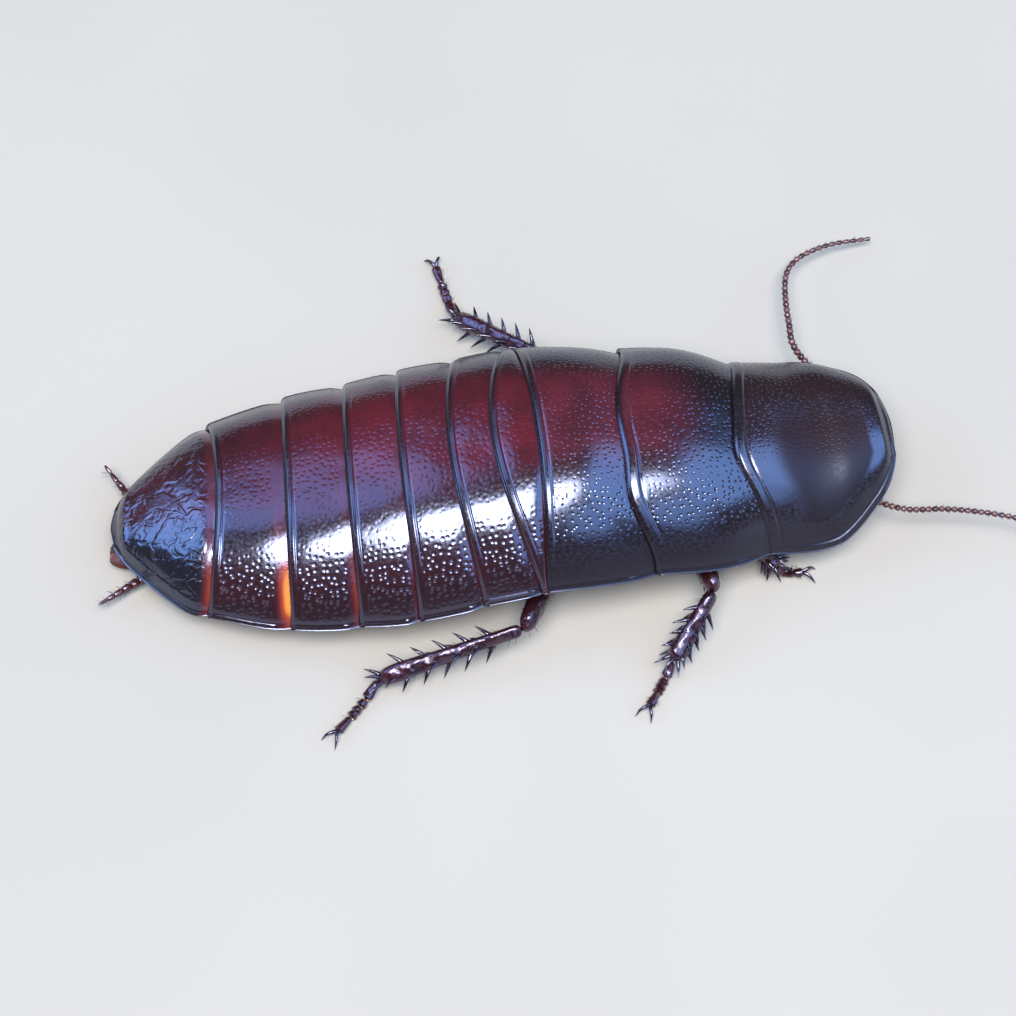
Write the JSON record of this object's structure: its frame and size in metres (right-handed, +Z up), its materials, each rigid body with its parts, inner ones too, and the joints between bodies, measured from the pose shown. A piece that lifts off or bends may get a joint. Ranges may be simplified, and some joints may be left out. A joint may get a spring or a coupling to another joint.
{
  "type": "wood roach model",
  "caption": "Life-size still model of an adult wood roach standing on its six feet, with armoured oval body, spiny legs and beaded feelers.",
  "frame": {"origin": "centre of the bounding box at floor level, under the feet", "axes": "+X towards the head, +Y to the animal's left, +Z up"},
  "size_m": [0.0344, 0.0186, 0.0057],
  "materials": {
    "cuticle": "glossy dark maroon cuticle, finely pitted",
    "dark_cuticle": "near-black brown cuticle, half gloss, pitted",
    "belly": "smooth red-brown underside plates",
    "limb": "glossy dark red-brown legs, feelers and mouthparts",
    "eye": "black compound eye with fine facets"
  },
  "bodies": {
    "root": {"abdomen_1": "cuticle", "abdomen_2": "cuticle", "abdomen_3": "cuticle", "abdomen_4": "cuticle", "abdomen_5": "cuticle", "abdomen_6": "cuticle", "abdomen_7": "dark_cuticle", "antenna_left_base": "limb", "antenna_left_middle": "limb", "antenna_left_tip": "limb", "antenna_right_base": "limb", "antenna_right_middle": "limb", "antenna_right_tip": "limb", "cercus_left": "limb", "cercus_right": "limb", "eye_left": "eye", "eye_right": "eye", "head": "dark_cuticle", "labial_palp_left": "limb", "labial_palp_right": "limb", "labrum": "limb", "leg_front_left_coxa": "limb", "leg_front_left_femur": "limb", "leg_front_left_tarsus": "limb", "leg_front_left_tibia": "limb", "leg_front_right_coxa": "limb", "leg_front_right_femur": "limb", "leg_front_right_tarsus": "limb", "leg_front_right_tibia": "limb", "leg_hind_left_coxa": "limb", "leg_hind_left_femur": "limb", "leg_hind_left_tarsus": "limb", "leg_hind_left_tibia": "limb", "leg_hind_right_coxa": "limb", "leg_hind_right_femur": "limb", "leg_hind_right_tarsus": "limb", "leg_hind_right_tibia": "limb", "leg_middle_left_coxa": "limb", "leg_middle_left_femur": "limb", "leg_middle_left_tarsus": "limb", "leg_middle_left_tibia": "limb", "leg_middle_right_coxa": "limb", "leg_middle_right_femur": "limb", "leg_middle_right_tarsus": "limb", "leg_middle_right_tibia": "limb", "mandible_left": "limb", "mandible_right": "limb", "maxillary_palp_left": "limb", "maxillary_palp_right": "limb", "mesonotum": "dark_cuticle", "mesosternum": "belly", "metanotum": "dark_cuticle", "metasternum": "belly", "pronotum": "dark_cuticle", "prosternum": "belly", "subgenital_plate": "belly"}
  },
  "joints": []
}
